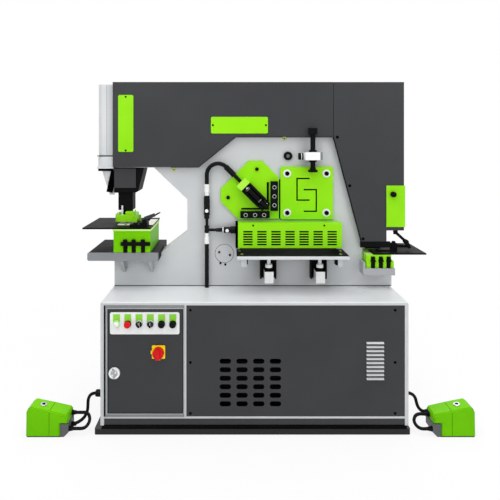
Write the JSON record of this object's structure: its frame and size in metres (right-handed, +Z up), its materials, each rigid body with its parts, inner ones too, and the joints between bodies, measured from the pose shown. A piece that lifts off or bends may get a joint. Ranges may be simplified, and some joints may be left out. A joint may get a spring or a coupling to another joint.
{
  "type": "ironworker machine",
  "caption": "Hydraulic ironworker with punch, shear and notching stations on a cabinet with a hinged control door, and two cabled foot pedals.",
  "frame": {"origin": "middle of the base tray's underside, under the middle of the cabinet", "axes": "+X to the operator's right, +Y from the front of the machine to its back, +Z up"},
  "size_m": [2.2336, 0.747, 1.797],
  "materials": {
    "charcoal": "satin",
    "light": "satin",
    "green": "satin",
    "black": "satin",
    "steel": "satin",
    "grey": "satin",
    "white": "satin",
    "cap_silver": "satin",
    "red": "gloss",
    "white_plastic": "gloss",
    "black_plastic": "matte",
    "rubber": "matte"
  },
  "bodies": {
    "machine": {"base_tray": "black", "cabinet": "light", "front_panels": "charcoal", "hydraulic_unit": "grey", "electric_board": "steel", "frame": "light", "top_cover": "charcoal", "side_cover": "charcoal", "end_cap": "cap_silver", "ram_guide": "black", "cover_plates": "green", "stripper": "green", "die_block": "green", "die": "steel", "punch_table": "black", "lower_table": "grey", "jaw_brackets": "grey", "angle_plate": "green", "angle_blades": "black", "clamp_guide": "black", "section_plate": "green", "frame_bolts": "steel", "spindle_bracket": "white", "shear_guard": "green", "shear_table": "grey", "shear_supports": "black", "pipework": "black", "pipe_fittings": "white", "notch_table": "black", "notch_block": "green", "clamp_bolts": "black", "notch_guard": "green", "cable_glands": "black_plastic", "pedal_hoods": "green", "pedal_bases": "grey", "cable_left": "rubber", "loop_left": "rubber", "cable_right": "rubber", "loop_right": "rubber"},
    "beam": {"shear_beam": "steel"},
    "ram": {"punch_ram": "black", "punch": "steel"},
    "fence": {"table_fence": "black"},
    "lever": {"fence_lever": "black"},
    "clamp": {"clamp_piston": "black"},
    "hold_down": {"spindle": "black", "spindle_foot": "black"},
    "notcher": {"notch_ram": "steel"},
    "arm": {"notch_arm": "black"},
    "door": {"door": "charcoal", "control_plate": "white_plastic"},
    "lock": {"door_lock": "steel"},
    "switch": {"main_switch": "red"},
    "stop": {"stop_button": "red"},
    "selector_a": {"selector_left": "black_plastic"},
    "selector_b": {"selector_right": "black_plastic"},
    "button_a": {"push_button_left": "black_plastic"},
    "button_b": {"push_button_right": "black_plastic"},
    "pedal_left": {"treadle_left": "black"},
    "pedal_right": {"treadle_right": "black"}
  },
  "joints": [
    {"name": "door_hinge", "type": "hinge", "parent": "machine", "child": "door", "pos_m": [-0.365, -0.345, 0.3], "axis": [0, 0, 1], "range_deg": [0, 100]},
    {"name": "stop_press", "type": "slide", "parent": "door", "child": "stop", "axis": [0, 1, 0], "range_m": [0, 0.004], "stiffness_N_per_m": 300},
    {"name": "button_a_press", "type": "slide", "parent": "door", "child": "button_a", "axis": [0, 1, 0], "range_m": [0, 0.004], "stiffness_N_per_m": 300},
    {"name": "button_b_press", "type": "slide", "parent": "door", "child": "button_b", "axis": [0, 1, 0], "range_m": [0, 0.004], "stiffness_N_per_m": 300},
    {"name": "selector_a_turn", "type": "hinge", "parent": "door", "child": "selector_a", "pos_m": [-0.5798, -0.35, 0.552], "axis": [0, 1, 0], "range_deg": [-45, 45]},
    {"name": "selector_b_turn", "type": "hinge", "parent": "door", "child": "selector_b", "pos_m": [-0.5232, -0.35, 0.552], "axis": [0, 1, 0], "range_deg": [-45, 45]},
    {"name": "switch_turn", "type": "hinge", "parent": "door", "child": "switch", "pos_m": [-0.482, -0.35, 0.41], "axis": [0, 1, 0], "range_deg": [0, 90]},
    {"name": "lock_turn", "type": "hinge", "parent": "door", "child": "lock", "pos_m": [-0.704, -0.35, 0.305], "axis": [0, 1, 0], "range_deg": [0, 90]},
    {"name": "ram_stroke", "type": "slide", "parent": "machine", "child": "ram", "axis": [0, 0, -1], "range_m": [0, 0.02]},
    {"name": "beam_swing", "type": "hinge", "parent": "machine", "child": "beam", "pos_m": [-0.24, 0, 1.4], "axis": [0, 1, 0], "range_deg": [0, 2]},
    {"name": "notch_stroke", "type": "slide", "parent": "machine", "child": "notcher", "axis": [0, 0, -1], "range_m": [0, 0.034]},
    {"name": "fence_slide", "type": "slide", "parent": "machine", "child": "fence", "axis": [1, 0, 0], "range_m": [-0.1, 0.015]},
    {"name": "lever_turn", "type": "hinge", "parent": "fence", "child": "lever", "pos_m": [-0.592, -0.122, 1.0333], "axis": [0, 1, 0], "range_deg": [-20, 22]},
    {"name": "clamp_stroke", "type": "slide", "parent": "machine", "child": "clamp", "axis": [0.7071, 0, -0.7071], "range_m": [0, 0.015]},
    {"name": "screw_travel", "type": "slide", "parent": "machine", "child": "hold_down", "axis": [0, 0, -1], "range_m": [-0.03, 0.06]},
    {"name": "arm_turn", "type": "hinge", "parent": "machine", "child": "arm", "pos_m": [0.802, -0.06, 0.961], "axis": [0, 1, 0], "range_deg": [-35, 3]},
    {"name": "treadle_left_press", "type": "hinge", "parent": "machine", "child": "pedal_left", "pos_m": [-0.989, -0.334, 0.024], "axis": [0, -1, 0], "range_deg": [0, 9], "stiffness_Nm_per_rad": 3, "springref_deg": -8.59},
    {"name": "treadle_right_press", "type": "hinge", "parent": "machine", "child": "pedal_right", "pos_m": [0.948, -0.334, 0.024], "axis": [0, 1, 0], "range_deg": [0, 9], "stiffness_Nm_per_rad": 3, "springref_deg": -8.59}
  ],
  "couplings": [
    {"joint": "notch_stroke", "follows": "beam_swing", "m_per_rad": 0.932}
  ]
}
